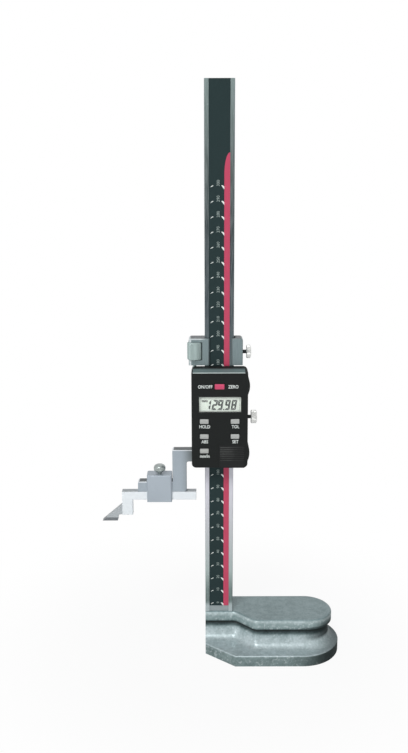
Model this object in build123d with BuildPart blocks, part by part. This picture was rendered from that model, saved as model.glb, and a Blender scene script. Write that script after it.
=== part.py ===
"""Digital height gauge: cast base, graduated column, electronic slider, fine adjustment and scriber.

Frame: origin on the resting plane under the middle of the column, +X towards the rounded end
of the base, +Y away from the display, +Z up. All sizes are millimetres.
"""

import os
from math import cos, radians, sin, tan

from build123d import *

os.makedirs("parts", exist_ok=True)

# ---------------------------------------------------------------- clearances
slide_gap = 0.05  # between sliding faces, on each side
turn_gap = 0.05  # radial, between a turning shank and its bore
button_gap = 0.12  # round a button in its opening
seat_gap = 0.05  # between pieces that are only laid in their seats
thread_end_room = 0.6  # a screw hole is deeper than its screw by this
overrun = 1.0  # cutters reach this far past the material
near = 0.01  # coordinates closer than this are the same

# ---------------------------------------------------------------- column
column_width = 20.0
column_depth = 8.0
column_length = 373.7
column_edge = 0.4  # chamfer of the long edges
groove_width = 14.1
groove_depth = 0.8
strip_thick = 0.7
strip_margin = 0.05  # each side of the strip in its groove
strip_start = 4.7  # above the base

# ---------------------------------------------------------------- base
base_height = 30.0
foot_thick = 8.0
foot_flare_end = 5.15  # the foot reaches past the plate at its rounded end
foot_flare_back = 8.8  # and behind it
foot_corner_x = 21.3  # cut-off corner at the front left, along X
foot_corner_y = 17.0  # and along Y
foot_edge = 0.6
plate_thick = 7.1
plate_reach = 83.7  # from the column's middle to the tip of the plate's rounded end
plate_front = 17.9
plate_back = 20.0
plate_edge_radius = 1.75
neck_front = 4.9  # the plate is narrower in front of the column
neck_end = 12.1
neck_run = 13.4  # length of the slant from the neck to the full width
neck_radius = 6.0  # rounds both ends of the slant
waist_inset = 3.5  # under the plate the web stands back by this
waist_taper = 10.0  # degrees, the web widens towards the foot
cove_radius = 7.0
underside_relief = 1.0
ground_rim = 9.0
relief_start = 14.0

# ---------------------------------------------------------------- column fasteners
column_screw_pitch = 12.0
column_screw_y = 0.8  # behind the column's middle, clear of the scale's groove
column_screw_diameter = 3.0
column_screw_head = 5.5
column_screw_head_height = 3.0
column_screw_length = 30.0
column_screw_bite = 8.0  # thread length inside the column
counterbore_gap = 0.25
dowel_diameter = 3.0
dowel_length = 12.0

# ---------------------------------------------------------------- slider
slider_bottom = 147.4
slider_top = 213.5
slider_front = 6.5  # in front of the column's middle
slider_left_wall = 8.8
slider_right_wall = 7.1
gib_thick = 1.1
gib_end = 2.0  # the gib stops short of both ends of the slider
slider_plate_thick = 2.5
slider_plate_corner = 1.0
pickup_width = 13.0
pickup_bottom = 172.0
pickup_top = 206.0
pickup_corner = 1.0
plate_screw_diameter = 2.5
plate_screw_head = 4.4
plate_screw_head_height = 1.5
plate_screw_length = 6.0
plate_screw_z = (165.0, 196.0)
gib_screw_diameter = 2.5
gib_screw_length = 5.5
gib_screw_z = (157.5, 203.5)

# ---------------------------------------------------------------- arm of the slider
arm_depth = 7.0
arm_left = -33.05
arm_drop_right = -23.1
arm_top = 156.0
nose_left = -57.7
nose_bottom = 124.95
nose_height = 7.6
arm_corner = 1.5
arm_edge = 0.3

# ---------------------------------------------------------------- display housing
housing_left = -19.15
housing_right = 19.35
housing_bottom = 146.7
housing_top = 216.3  # at its back; the top slopes down to the front
housing_slope = 2.3
housing_depth = 11.5
housing_wall = 1.6
housing_front_wall = 2.0
housing_top_wall = 4.3
housing_corner_top = 4.0
housing_corner_bottom = 3.0
housing_edge = 0.6
bump_rise = 1.3
bump_centres = (157.5, 204.8)
bump_half_length = 6.0
housing_screw_diameter = 1.6
housing_screw_head = 3.0
housing_screw_head_height = 1.4
housing_screw_bite = 5.0
housing_screw_x = (-13.2, 15.4)
housing_screw_z = (151.2, 209.0)
boss_radius = 2.2

# ---------------------------------------------------------------- display and electronics
window_left = -14.2
window_right = 14.8
window_bottom = 186.3
window_top = 197.2
window_thick = 1.1
window_sink = 0.1  # below the housing's front
window_corner = 0.6
window_ledge = 0.25
lcd_thick = 1.85
lcd_border = 1.3
board_thick = 1.2
board_air = 0.3  # round the board inside the housing
board_room = 1.0  # behind the battery block, for the board's wiring
board_front = 13.4  # in front of the column's middle
connector_strip = 1.0
pin_block_width = 10.0
pin_block_height = 2.5
pickup_board_thick = 1.2
pickup_board_air = 0.6  # between the pickup board and the scale

# ---------------------------------------------------------------- buttons
button_rise = 0.7
button_travel = 0.6
button_flange = 0.8
button_flange_thick = 0.6
button_corner = 0.5
button_crown = 0.35  # the cap is a shallow barrel, lower at its top and bottom edges
dome_border = 0.5
grey_button = (5.8, 3.2)
red_button = (6.4, 3.5)
button_left_x = -10.5
button_right_x = 10.55
button_rows = (180.1, 169.4, 159.05)
red_button_at = (0.0, 204.5)

# ---------------------------------------------------------------- battery
battery_diameter = 11.6
battery_height = 5.4
battery_x = 8.9
battery_z = 157.0
battery_gap = 0.15
battery_edge = 0.4
battery_block_left = -1.4
battery_block_top = 165.2
battery_block_depth = 6.3
contact_thick = 0.3
contact_width = 3.0
contact_reach = 1.5  # the contact's tail passes the battery block by this
cover_width = 17.2
cover_x = 8.6
cover_top = 163.0
cover_thick = 1.0
cover_tongue = 0.9
cover_tongue_thick = 0.7
cover_rib_count = 8
cover_rib_pitch = 1.35
cover_rib_height = 0.6
cover_rib_rise = 0.35
cover_rib_margin = 0.3

# ---------------------------------------------------------------- fine adjustment
block_bottom = 216.7
block_height = 18.7
block_left = -20.95
block_right = 16.15
block_front = 6.0
block_back = 6.0
block_edge = 1.0
block_back_corner = 3.0
block_top_corner = 1.6
lip_chamfer = 0.7
block_opening_left = -6.9
block_opening_right = 8.5
nut_x = -17.0
nut_y = -3.5
nut_radius = 5.0
nut_height = 12.4
nut_bottom = 220.3
nut_edge = 0.7
nut_room = 0.3  # round the nut in its notch
rod_diameter = 2.5
rod_bottom = 198.0
rod_top = 234.0
rod_edge = 0.3

# ---------------------------------------------------------------- clamp screws
clamp_thread = 2.6
clamp_cap_inset = 0.3
clamp_cap_rise = 0.25
knurl_count = 30
knurl_depth = 0.35
nut_knurl_count = 32
nut_knurl_depth = 0.18
main_clamp_z = 178.5
main_clamp_radius = 4.7
main_clamp_head_x = 22.2
main_clamp_head = 4.1
fine_clamp_z = 225.2
fine_clamp_radius = 4.6
fine_clamp_head_x = 18.7
fine_clamp_head = 3.0

# ---------------------------------------------------------------- scriber and its clamp
scriber_depth = 6.0
scriber_height = 6.0
scriber_right = -16.3
scriber_left = -69.25
leg_width = 7.5
leg_bottom = 107.4
point_x = -83.7
point_z = 102.5
heel_x = -72.75
heel_slope = 0.7
heel_gap = 0.4
heel_round = 0.6
wedge_top_z = 114.9
nose_setback = 1.5  # the nose stands back from the bar's front
tip_height = 2.4
scriber_edge = 0.25
box_left = -51.2
box_right = -33.6
box_wall = 1.85
box_floor = 1.15
box_roof = 5.0
box_edge = 0.8
box_rim = 0.4
box_screw_x = -42.3
box_screw_thread = 3.0
box_knob_radius = 4.2
box_knob_band = 2.4
box_knob_dome = 3.0
dome_facets = 5  # flat bands from the dome's rim to its top
box_knob_neck = 1.5

# ---------------------------------------------------------------- derived places
column_left = -column_width / 2
column_right = column_width / 2
column_front = -column_depth / 2
column_back = column_depth / 2
column_top = base_height + column_length
base_left = column_left
foot_reach = plate_reach + foot_flare_end
foot_half_depth = plate_back + foot_flare_back
strip_front = column_front + groove_depth - strip_thick
slider_left = column_left - slide_gap - slider_left_wall
slider_inner_right = column_right + slide_gap + gib_thick + slide_gap
slider_right = slider_inner_right + slider_right_wall
slider_back = column_back + slide_gap
left_wall_middle = (slider_left + column_left) / 2
right_wall_middle = (slider_inner_right + slider_right) / 2
housing_front = -slider_front - housing_depth
housing_inner_front = housing_front + housing_front_wall
arm_back = -slider_front + arm_depth
nose_top = nose_bottom + nose_height
block_top = block_bottom + block_height
box_top = nose_top + slide_gap + box_roof
box_bottom = nose_bottom - slide_gap - scriber_height - slide_gap - box_floor


def rectangle_between(left, right, bottom, top, radius=0.0, mode=Mode.ADD):
    """Draws a rectangle between its edges, with rounded corners where a radius is given."""
    with Locations(((left + right) / 2, (bottom + top) / 2)):
        if radius:
            RectangleRounded(right - left, top - bottom, radius, mode=mode)
        else:
            Rectangle(right - left, top - bottom, mode=mode)


def front_plane(y):
    """A plane facing the viewer at the given Y, with sketch x along X and sketch y along Z."""
    return Plane.XZ.offset(-y)


def screw_places():
    """The places of the two column screws, for sketches that lie across them."""
    half = column_screw_pitch / 2
    return Locations((-half, column_screw_y), (half, column_screw_y))


def knurled_circle(radius, count, depth):
    """Draws a circle with V-shaped knurl grooves of the given depth round it."""
    Circle(radius)
    with PolarLocations(radius, count):
        Rectangle(depth * 2**0.5, depth * 2**0.5, rotation=45, mode=Mode.SUBTRACT)


# ================================================================ base casting
def foot_outline():
    """Draws the foot in plan: flat left side, cut-off front corner, semicircular end."""
    arc_x = foot_reach - foot_half_depth
    with BuildLine() as outline:
        Polyline(
            (arc_x, foot_half_depth),
            (base_left, foot_half_depth),
            (base_left, foot_corner_y - foot_half_depth),
            (base_left + foot_corner_x, -foot_half_depth),
            (arc_x, -foot_half_depth),
        )
        ThreePointArc((arc_x, -foot_half_depth), (foot_reach, 0), (arc_x, foot_half_depth))
    make_face(outline.edges())


def plate_outline(left):
    """Draws the top plate in plan: a neck in front of the column, a slant, a round end."""
    half = (plate_front + plate_back) / 2
    arc_x = plate_reach - half
    with BuildLine() as outline:
        FilletPolyline(
            (left, -neck_front),
            (neck_end, -neck_front),
            (neck_end + neck_run, -plate_front),
            (arc_x, -plate_front),
            radius=neck_radius,
        )
        ThreePointArc(
            (arc_x, -plate_front),
            (plate_reach, plate_back - half),
            (arc_x, plate_back),
        )
        Polyline((arc_x, plate_back), (left, plate_back), (left, -neck_front))
    make_face(outline.edges())


plate_bottom = base_height - plate_thick
web_height = plate_bottom - foot_thick
web_widening = web_height * tan(radians(waist_taper))
web_inset = waist_inset - web_widening  # at the foot
web_overrun = cove_radius + 2 * waist_inset + web_widening
shelf = foot_flare_end + web_inset - foot_edge
cove = min(cove_radius, (shelf - near) / tan(radians(45 - waist_taper / 2)))

with BuildPart() as base_casting:
    with BuildSketch(Plane.XY.offset(plate_bottom)):
        plate_outline(base_left - web_overrun)
    extrude(amount=plate_thick)
    fillet(base_casting.faces().sort_by(Axis.Z)[-1].edges(), plate_edge_radius)
    with BuildSketch(Plane.XY):
        foot_outline()
        rectangle_between(
            base_left - 2 * web_overrun,
            base_left,
            foot_corner_y - foot_half_depth,
            foot_half_depth,
        )
    extrude(amount=foot_thick)
    foot_top = base_casting.faces().filter_by(Plane.XY).group_by(Axis.Z)[1]
    chamfer(foot_top.edges(), foot_edge)
    with BuildSketch(Plane.XY.offset(foot_thick)):
        plate_outline(base_left - web_overrun)
        offset(amount=-web_inset)
    extrude(amount=web_height, taper=waist_taper)
    foot_top = base_casting.faces().filter_by(Plane.XY).group_by(Axis.Z)[1]
    fillet(foot_top[0].inner_wires()[0].edges(), cove)
    split(bisect_by=Plane.YZ.offset(base_left), keep=Keep.TOP)
    with BuildSketch(Plane.XY):
        foot_outline()
        offset(amount=-ground_rim)
        rectangle_between(
            relief_start,
            foot_reach,
            -foot_half_depth,
            foot_half_depth,
            mode=Mode.INTERSECT,
        )
    extrude(amount=underside_relief, mode=Mode.SUBTRACT)
    head_seat = base_height + column_screw_bite - column_screw_length
    with BuildSketch(Plane.XY):
        with screw_places():
            Circle(column_screw_head / 2 + counterbore_gap)
    extrude(amount=head_seat, mode=Mode.SUBTRACT)
    with BuildSketch(Plane.XY):
        with screw_places():
            Circle(column_screw_diameter / 2 + turn_gap)
    extrude(amount=base_height, mode=Mode.SUBTRACT)
    with BuildSketch(Plane.XY.offset(base_height)):
        Circle(dowel_diameter / 2)
    extrude(amount=-dowel_length / 2, mode=Mode.SUBTRACT)
base_casting.part.label = "base_casting"
export_step(base_casting.part, "parts/base_casting.step")

# ================================================================ column and its fasteners
with BuildPart() as column:
    with BuildSketch(Plane.XY.offset(base_height)):
        Rectangle(column_width, column_depth)
        chamfer(vertices(), column_edge)
        rectangle_between(
            -groove_width / 2,
            groove_width / 2,
            column_front,
            column_front + groove_depth,
            mode=Mode.SUBTRACT,
        )
    extrude(amount=column_length)
    with BuildSketch(Plane.XY.offset(base_height)):
        with screw_places():
            Circle(column_screw_diameter / 2 + turn_gap)
    extrude(amount=column_screw_bite + column_screw_diameter / 2, mode=Mode.SUBTRACT)
    with BuildSketch(Plane.XY.offset(base_height)):
        Circle(dowel_diameter / 2)
    extrude(amount=dowel_length / 2, mode=Mode.SUBTRACT)
column.part.label = "column"
export_step(column.part, "parts/column.step")

with BuildPart() as column_screws:
    with BuildSketch(Plane.XY.offset(head_seat - column_screw_head_height)):
        with screw_places():
            Circle(column_screw_head / 2)
            RegularPolygon(column_screw_diameter / 2, 6, mode=Mode.SUBTRACT)
    extrude(amount=column_screw_head_height / 2)
    with BuildSketch(Plane.XY.offset(head_seat - column_screw_head_height / 2)):
        with screw_places():
            Circle(column_screw_head / 2)
    extrude(amount=column_screw_head_height / 2)
    with BuildSketch(Plane.XY.offset(head_seat)):
        with screw_places():
            Circle(column_screw_diameter / 2)
    extrude(amount=column_screw_length)
column_screws.part.label = "column_screws"
export_step(column_screws.part, "parts/column_screws.step")

with BuildPart() as column_dowel:
    with BuildSketch(Plane.XY.offset(base_height - dowel_length / 2)):
        Circle(dowel_diameter / 2)
    extrude(amount=dowel_length)
    chamfer(column_dowel.edges().filter_by(GeomType.CIRCLE), column_edge)
column_dowel.part.label = "column_dowel"
export_step(column_dowel.part, "parts/column_dowel.step")

with BuildPart() as scale_strip:
    with BuildSketch(front_plane(column_front + groove_depth)):
        rectangle_between(
            -groove_width / 2 + strip_margin,
            groove_width / 2 - strip_margin,
            base_height + strip_start,
            column_top,
        )
    extrude(amount=strip_thick)
scale_strip.part.label = "scale_strip"
export_step(scale_strip.part, "parts/scale_strip.step")

# ================================================================ slider frame with its arm
with BuildPart() as slider_frame:
    with BuildSketch(Plane.XY.offset(slider_bottom)):
        rectangle_between(slider_left, slider_right, -slider_front, slider_back)
        rectangle_between(
            column_left - slide_gap,
            slider_inner_right,
            column_front - slide_gap,
            slider_back,
            mode=Mode.SUBTRACT,
        )
    extrude(amount=slider_top - slider_bottom)
    with BuildSketch(front_plane(-slider_front)):
        rectangle_between(
            -pickup_width / 2,
            pickup_width / 2,
            pickup_bottom,
            pickup_top,
            pickup_corner,
        )
    extrude(amount=-(slider_front + column_front - slide_gap), mode=Mode.SUBTRACT)
    with BuildSketch(front_plane(-slider_front)) as arm_side:
        with BuildLine():
            Polyline(
                (slider_left + arm_corner, slider_bottom),
                (arm_drop_right, slider_bottom),
                (arm_drop_right, nose_bottom),
                (nose_left, nose_bottom),
                (nose_left, nose_top),
                (arm_left, nose_top),
                (arm_left, arm_top),
                (slider_left + arm_corner, arm_top),
                close=True,
            )
        make_face()
        outer_corners = [(arm_left, arm_top), (nose_left, nose_top), (arm_drop_right, nose_bottom)]
        inner_corner = (arm_drop_right, slider_bottom)
        rounded = [
            corner
            for corner in arm_side.vertices()
            for x, z in [*outer_corners, inner_corner]
            if abs(corner.X - x) + abs(corner.Y - z) < near
        ]
        fillet(rounded, arm_corner)
    extrude(amount=-arm_depth)
    chamfer(slider_frame.faces().sort_by(Axis.Y)[0].outer_wire().edges(), arm_edge)
    # holes for the housing screws, the plate screws, the gib screws, the clamp and the rod
    with BuildSketch(front_plane(slider_back)):
        for x in housing_screw_x:
            for z in housing_screw_z:
                with Locations((x, z)):
                    Circle(housing_screw_head / 2 + turn_gap)
    extrude(amount=housing_screw_head_height, mode=Mode.SUBTRACT)
    with BuildSketch(front_plane(slider_back)):
        for x in housing_screw_x:
            for z in housing_screw_z:
                with Locations((x, z)):
                    Circle(housing_screw_diameter / 2 + turn_gap)
    extrude(amount=slider_back + slider_front, mode=Mode.SUBTRACT)
    with BuildSketch(front_plane(slider_back)):
        for x in (left_wall_middle, right_wall_middle):
            for z in plate_screw_z:
                with Locations((x, z)):
                    Circle(plate_screw_diameter / 2 + turn_gap)
    extrude(amount=plate_screw_length - slider_plate_thick + thread_end_room, mode=Mode.SUBTRACT)
    with BuildSketch(Plane.YZ.offset(slider_inner_right)):
        for z in gib_screw_z:
            with Locations((0, z)):
                Circle(gib_screw_diameter / 2 + turn_gap)
        with Locations((0, main_clamp_z)):
            Circle(clamp_thread / 2 + turn_gap)
    extrude(amount=slider_right_wall, mode=Mode.SUBTRACT)
    with BuildSketch(Plane.XY.offset(rod_bottom)):
        with Locations((nut_x, nut_y)):
            Circle(rod_diameter / 2)
    extrude(amount=slider_top - rod_bottom, mode=Mode.SUBTRACT)
slider_frame.part.label = "slider_frame"
export_step(slider_frame.part, "parts/slider_frame.step")

with BuildPart() as slider_back_plate:
    with BuildSketch(front_plane(slider_back)):
        rectangle_between(slider_left, slider_right, slider_bottom, slider_top, slider_plate_corner)
    extrude(amount=-slider_plate_thick)
    with BuildSketch(front_plane(slider_back)):
        for x in (left_wall_middle, right_wall_middle):
            for z in plate_screw_z:
                with Locations((x, z)):
                    Circle(plate_screw_diameter / 2 + turn_gap)
    extrude(amount=-slider_plate_thick, mode=Mode.SUBTRACT)
    with BuildSketch(front_plane(slider_back + slider_plate_thick)):
        for x in (left_wall_middle, right_wall_middle):
            for z in plate_screw_z:
                with Locations((x, z)):
                    Circle(plate_screw_head / 2 + turn_gap)
    extrude(amount=plate_screw_head_height, mode=Mode.SUBTRACT)
slider_back_plate.part.label = "slider_back_plate"
export_step(slider_back_plate.part, "parts/slider_back_plate.step")

with BuildPart() as back_plate_screws:
    for x in (left_wall_middle, right_wall_middle):
        for z in plate_screw_z:
            with BuildSketch(front_plane(slider_back + slider_plate_thick)):
                with Locations((x, z)):
                    Circle(plate_screw_head / 2)
            extrude(amount=plate_screw_head_height)
            with BuildSketch(front_plane(slider_back + slider_plate_thick)):
                with Locations((x, z)):
                    Circle(plate_screw_diameter / 2)
            extrude(amount=plate_screw_length)
            with BuildSketch(front_plane(slider_back + slider_plate_thick)):
                with Locations((x, z)):
                    Rectangle(plate_screw_head + overrun, plate_screw_head / 6)
            extrude(amount=plate_screw_head_height / 3, mode=Mode.SUBTRACT)
back_plate_screws.part.label = "back_plate_screws"
export_step(back_plate_screws.part, "parts/back_plate_screws.step")

with BuildPart() as gib:
    with BuildSketch(Plane.XY.offset(slider_bottom + gib_end)):
        rectangle_between(
            column_right + slide_gap,
            slider_inner_right,
            column_front,
            column_back,
        )
    extrude(amount=slider_top - slider_bottom - 2 * gib_end)
gib.part.label = "gib"
export_step(gib.part, "parts/gib.step")

with BuildPart() as gib_screws:
    for z in gib_screw_z:
        with BuildSketch(Plane.YZ.offset(slider_inner_right)):
            with Locations((0, z)):
                Circle(gib_screw_diameter / 2)
        extrude(amount=gib_screw_length)
        with BuildSketch(Plane.YZ.offset(slider_inner_right + gib_screw_length)):
            with Locations((0, z)):
                RegularPolygon(gib_screw_diameter / 3.5, 6)
        extrude(amount=-gib_screw_diameter / 2, mode=Mode.SUBTRACT)
gib_screws.part.label = "gib_screws"
export_step(gib_screws.part, "parts/gib_screws.step")

# ================================================================ display housing
grey_buttons = {
    "hold_button": (button_left_x, button_rows[0]),
    "tolerance_button": (button_right_x, button_rows[0]),
    "absolute_button": (button_left_x, button_rows[1]),
    "set_button": (button_right_x, button_rows[1]),
    "unit_button": (button_left_x, button_rows[2]),
}
buttons = {name: (place, grey_button) for name, place in grey_buttons.items()}
buttons["power_button"] = (red_button_at, red_button)


def housing_outline():
    """Draws the housing from the front, with a thumb bump twice on its right side."""
    with BuildLine() as outline:
        corners = [(housing_right, housing_top), (housing_left, housing_top)]
        corners += [(housing_left, housing_bottom), (housing_right, housing_bottom)]
        Polyline(*corners)
        start = housing_bottom
        for centre in bump_centres:
            Line((housing_right, start), (housing_right, centre - bump_half_length))
            ThreePointArc(
                (housing_right, centre - bump_half_length),
                (housing_right + bump_rise, centre),
                (housing_right, centre + bump_half_length),
            )
            start = centre + bump_half_length
        Line((housing_right, start), (housing_right, housing_top))
    make_face(outline.edges())
    top = vertices().filter_by(lambda v: v.Z > housing_top - near)
    fillet(top, housing_corner_top)
    bottom = vertices().filter_by(lambda v: v.Z < housing_bottom + near)
    fillet(bottom, housing_corner_bottom)


with BuildPart() as display_housing:
    with BuildSketch(front_plane(-slider_front)):
        housing_outline()
    extrude(amount=housing_depth)
    with BuildSketch(Plane.YZ.offset(housing_left)):
        with BuildLine():
            Polyline(
                (-slider_front, housing_top),
                (housing_front, housing_top - housing_slope),
                (housing_front, housing_top),
                close=True,
            )
        make_face()
    extrude(amount=housing_right - housing_left, mode=Mode.SUBTRACT)
    chamfer(display_housing.faces().sort_by(Axis.Y)[0].edges(), housing_edge)
    with BuildSketch(front_plane(-slider_front)):
        rectangle_between(
            housing_left + housing_wall,
            housing_right - housing_wall,
            housing_bottom + housing_wall,
            housing_top - housing_top_wall,
            housing_corner_bottom - housing_wall,
        )
        rectangle_between(
            battery_block_left,
            housing_right,
            housing_bottom,
            battery_block_top,
            mode=Mode.SUBTRACT,
        )
        for x in housing_screw_x:
            for z in housing_screw_z:
                with Locations((x, z)):
                    Circle(boss_radius, mode=Mode.SUBTRACT)
    extrude(amount=housing_depth - housing_front_wall, mode=Mode.SUBTRACT)
    # room behind the battery block, for the board's wiring
    with BuildSketch(front_plane(-slider_front)):
        rectangle_between(
            battery_block_left - board_room,
            housing_right - housing_wall,
            housing_bottom + housing_wall,
            battery_block_top + board_room,
        )
        for x in housing_screw_x:
            for z in housing_screw_z:
                with Locations((x, z)):
                    Circle(boss_radius, mode=Mode.SUBTRACT)
    room = housing_depth - housing_front_wall - battery_block_depth
    extrude(amount=room, mode=Mode.SUBTRACT)
    with BuildSketch(front_plane(-slider_front)):
        for x in housing_screw_x:
            for z in housing_screw_z:
                with Locations((x, z)):
                    Circle(housing_screw_diameter / 2 + turn_gap)
    extrude(amount=housing_screw_bite + thread_end_room, mode=Mode.SUBTRACT)
    with BuildSketch(front_plane(housing_front)):
        rectangle_between(
            window_left - seat_gap,
            window_right + seat_gap,
            window_bottom - seat_gap,
            window_top + seat_gap,
            window_corner,
        )
    extrude(amount=-window_thick, mode=Mode.SUBTRACT)
    with BuildSketch(front_plane(housing_front)):
        rectangle_between(
            window_left + window_ledge,
            window_right - window_ledge,
            window_bottom + window_ledge,
            window_top - window_ledge,
        )
    extrude(amount=-housing_front_wall, mode=Mode.SUBTRACT)
    with BuildSketch(front_plane(housing_front)):
        for (x, z), (width, height) in buttons.values():
            with Locations((x, z)):
                RectangleRounded(width + 2 * button_gap, height + 2 * button_gap, button_corner)
    extrude(amount=-housing_front_wall, mode=Mode.SUBTRACT)
    # the cover's seat, the grooves of its tongues and the battery's pocket
    with BuildSketch(front_plane(housing_front)):
        rectangle_between(
            cover_x - cover_width / 2 - slide_gap,
            cover_x + cover_width / 2 + slide_gap,
            housing_bottom,
            cover_top + slide_gap,
        )
    extrude(amount=-cover_thick - cover_tongue_thick - 2 * slide_gap, mode=Mode.SUBTRACT)
    with BuildSketch(front_plane(housing_front + cover_thick - slide_gap)):
        rectangle_between(
            cover_x - cover_width / 2 - cover_tongue - slide_gap,
            cover_x + cover_width / 2 + cover_tongue + slide_gap,
            housing_bottom,
            cover_top + slide_gap,
        )
    extrude(amount=-cover_tongue_thick - 3 * slide_gap, mode=Mode.SUBTRACT)
    battery_front = housing_front + cover_thick + cover_tongue_thick + 4 * slide_gap
    pocket_floor = battery_front + battery_height + contact_thick
    with BuildSketch(front_plane(housing_front)):
        with Locations((battery_x, battery_z)):
            Circle(battery_diameter / 2 + battery_gap)
    extrude(amount=-(pocket_floor - housing_front), mode=Mode.SUBTRACT)
    # the slot that lets the battery's contact tail out to the board
    with BuildSketch(front_plane(pocket_floor - contact_thick - seat_gap)):
        tail_half = contact_width / 2 + seat_gap
        rectangle_between(
            battery_x - tail_half,
            battery_x + tail_half,
            battery_z,
            battery_block_top + board_room,
        )
    extrude(amount=-contact_thick - seat_gap, mode=Mode.SUBTRACT)
display_housing.part.label = "display_housing"
export_step(display_housing.part, "parts/display_housing.step")

with BuildPart() as housing_screws:
    for x in housing_screw_x:
        for z in housing_screw_z:
            with BuildSketch(front_plane(slider_back)):
                with Locations((x, z)):
                    Circle(housing_screw_head / 2)
            extrude(amount=housing_screw_head_height)
            with BuildSketch(front_plane(slider_back)):
                with Locations((x, z)):
                    Circle(housing_screw_diameter / 2)
            extrude(amount=slider_back + slider_front + housing_screw_bite)
housing_screws.part.label = "housing_screws"
export_step(housing_screws.part, "parts/housing_screws.step")

# ================================================================ display and electronics
with BuildPart() as lcd_window:
    with BuildSketch(front_plane(housing_front + window_thick)):
        rectangle_between(window_left, window_right, window_bottom, window_top, window_corner)
    extrude(amount=window_thick - window_sink)
lcd_window.part.label = "lcd_window"
export_step(lcd_window.part, "parts/lcd_window.step")

lcd_front = housing_inner_front + seat_gap
with BuildPart() as lcd_panel:
    with BuildSketch(front_plane(lcd_front + lcd_thick)):
        rectangle_between(
            window_left - lcd_border,
            window_right + lcd_border,
            window_bottom - lcd_border,
            window_top + lcd_border,
        )
    extrude(amount=lcd_thick)
lcd_panel.part.label = "lcd_panel"
export_step(lcd_panel.part, "parts/lcd_panel.step")

with BuildPart() as lcd_connectors:
    for edge in (window_bottom, window_top):
        with BuildSketch(front_plane(-board_front)):
            rectangle_between(
                window_left,
                window_right,
                edge - connector_strip / 2,
                edge + connector_strip / 2,
            )
        extrude(amount=-lcd_front - lcd_thick - board_front)
lcd_connectors.part.label = "lcd_connectors"
export_step(lcd_connectors.part, "parts/lcd_connectors.step")

with BuildPart() as circuit_board:
    with BuildSketch(front_plane(-board_front)):
        rectangle_between(
            housing_left + housing_wall + board_air,
            housing_right - housing_wall - board_air,
            housing_bottom + housing_wall + board_air,
            housing_top - housing_top_wall - board_air,
            housing_corner_bottom - housing_wall,
        )
        rectangle_between(
            battery_block_left - board_air,
            housing_right,
            housing_bottom,
            battery_block_top + board_air,
            mode=Mode.SUBTRACT,
        )
        for x in housing_screw_x:
            for z in housing_screw_z:
                with Locations((x, z)):
                    Circle(boss_radius + board_air, mode=Mode.SUBTRACT)
    extrude(amount=-board_thick)
circuit_board.part.label = "circuit_board"
export_step(circuit_board.part, "parts/circuit_board.step")

pickup_board_front = strip_front - pickup_board_air - pickup_board_thick
with BuildPart() as pickup_board:
    with BuildSketch(front_plane(pickup_board_front)):
        rectangle_between(
            -pickup_width / 2 + seat_gap,
            pickup_width / 2 - seat_gap,
            pickup_bottom + seat_gap,
            pickup_top - seat_gap,
            pickup_corner,
        )
    extrude(amount=-pickup_board_thick)
pickup_board.part.label = "pickup_board"
export_step(pickup_board.part, "parts/pickup_board.step")

with BuildPart() as board_connector:
    with BuildSketch(front_plane(pickup_board_front)):
        with Locations((0, pickup_top - 2 * pin_block_height)):
            Rectangle(pin_block_width, pin_block_height)
    extrude(amount=pickup_board_front + board_front - board_thick)
board_connector.part.label = "board_connector"
export_step(board_connector.part, "parts/board_connector.step")

# ================================================================ buttons and their rubber domes
flange_front = housing_inner_front + button_gap
dome_front = flange_front + button_flange_thick + button_travel + seat_gap

for name, ((x, z), (width, height)) in buttons.items():
    with BuildPart() as button:
        with BuildSketch(front_plane(flange_front)):
            with Locations((x, z)):
                RectangleRounded(width, height, button_corner)
        extrude(amount=flange_front - housing_front + button_rise)
        with BuildSketch(Plane.YZ.offset(x - width / 2)):
            cap_front = housing_front - button_rise
            with BuildLine():
                ThreePointArc(
                    (cap_front + button_crown, z - height / 2),
                    (cap_front, z),
                    (cap_front + button_crown, z + height / 2),
                )
                Polyline(
                    (cap_front + button_crown, z + height / 2),
                    (flange_front, z + height / 2),
                    (flange_front, z - height / 2),
                    (cap_front + button_crown, z - height / 2),
                )
            make_face()
        extrude(amount=width, mode=Mode.INTERSECT)
        with BuildSketch(front_plane(flange_front)):
            with Locations((x, z)):
                Rectangle(width + 2 * button_flange, height + 2 * button_flange)
        extrude(amount=-button_flange_thick)
    button.part.label = name
    export_step(button.part, f"parts/{name}.step")

with BuildPart() as rubber_domes:
    with BuildSketch(front_plane(-board_front)):
        for (x, z), (width, height) in buttons.values():
            with Locations((x, z)):
                Rectangle(width + 2 * dome_border, height + 2 * dome_border)
    extrude(amount=-board_front - dome_front)
rubber_domes.part.label = "rubber_domes"
export_step(rubber_domes.part, "parts/rubber_domes.step")

# ================================================================ battery, contacts, cover
with BuildPart() as battery:
    with BuildSketch(front_plane(battery_front)):
        with Locations((battery_x, battery_z)):
            Circle(battery_diameter / 2)
    extrude(amount=-battery_height)
    chamfer(battery.edges().filter_by(GeomType.CIRCLE), battery_edge)
battery.part.label = "battery"
export_step(battery.part, "parts/battery.step")

contact_back = battery_front + battery_height
with BuildPart() as battery_contact:
    with BuildSketch(front_plane(contact_back)):
        with Locations((battery_x, battery_z)):
            Circle(battery_diameter / 3)
        rectangle_between(
            battery_x - contact_width / 2,
            battery_x + contact_width / 2,
            battery_z,
            battery_block_top + contact_reach,
        )
    extrude(amount=-contact_thick)
    with BuildSketch(front_plane(contact_back)):
        rectangle_between(
            battery_x - contact_width / 2,
            battery_x + contact_width / 2,
            battery_block_top + contact_reach - contact_thick,
            battery_block_top + contact_reach,
        )
    extrude(amount=contact_back + board_front - board_thick)
battery_contact.part.label = "battery_contact"
export_step(battery_contact.part, "parts/battery_contact.step")

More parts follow.
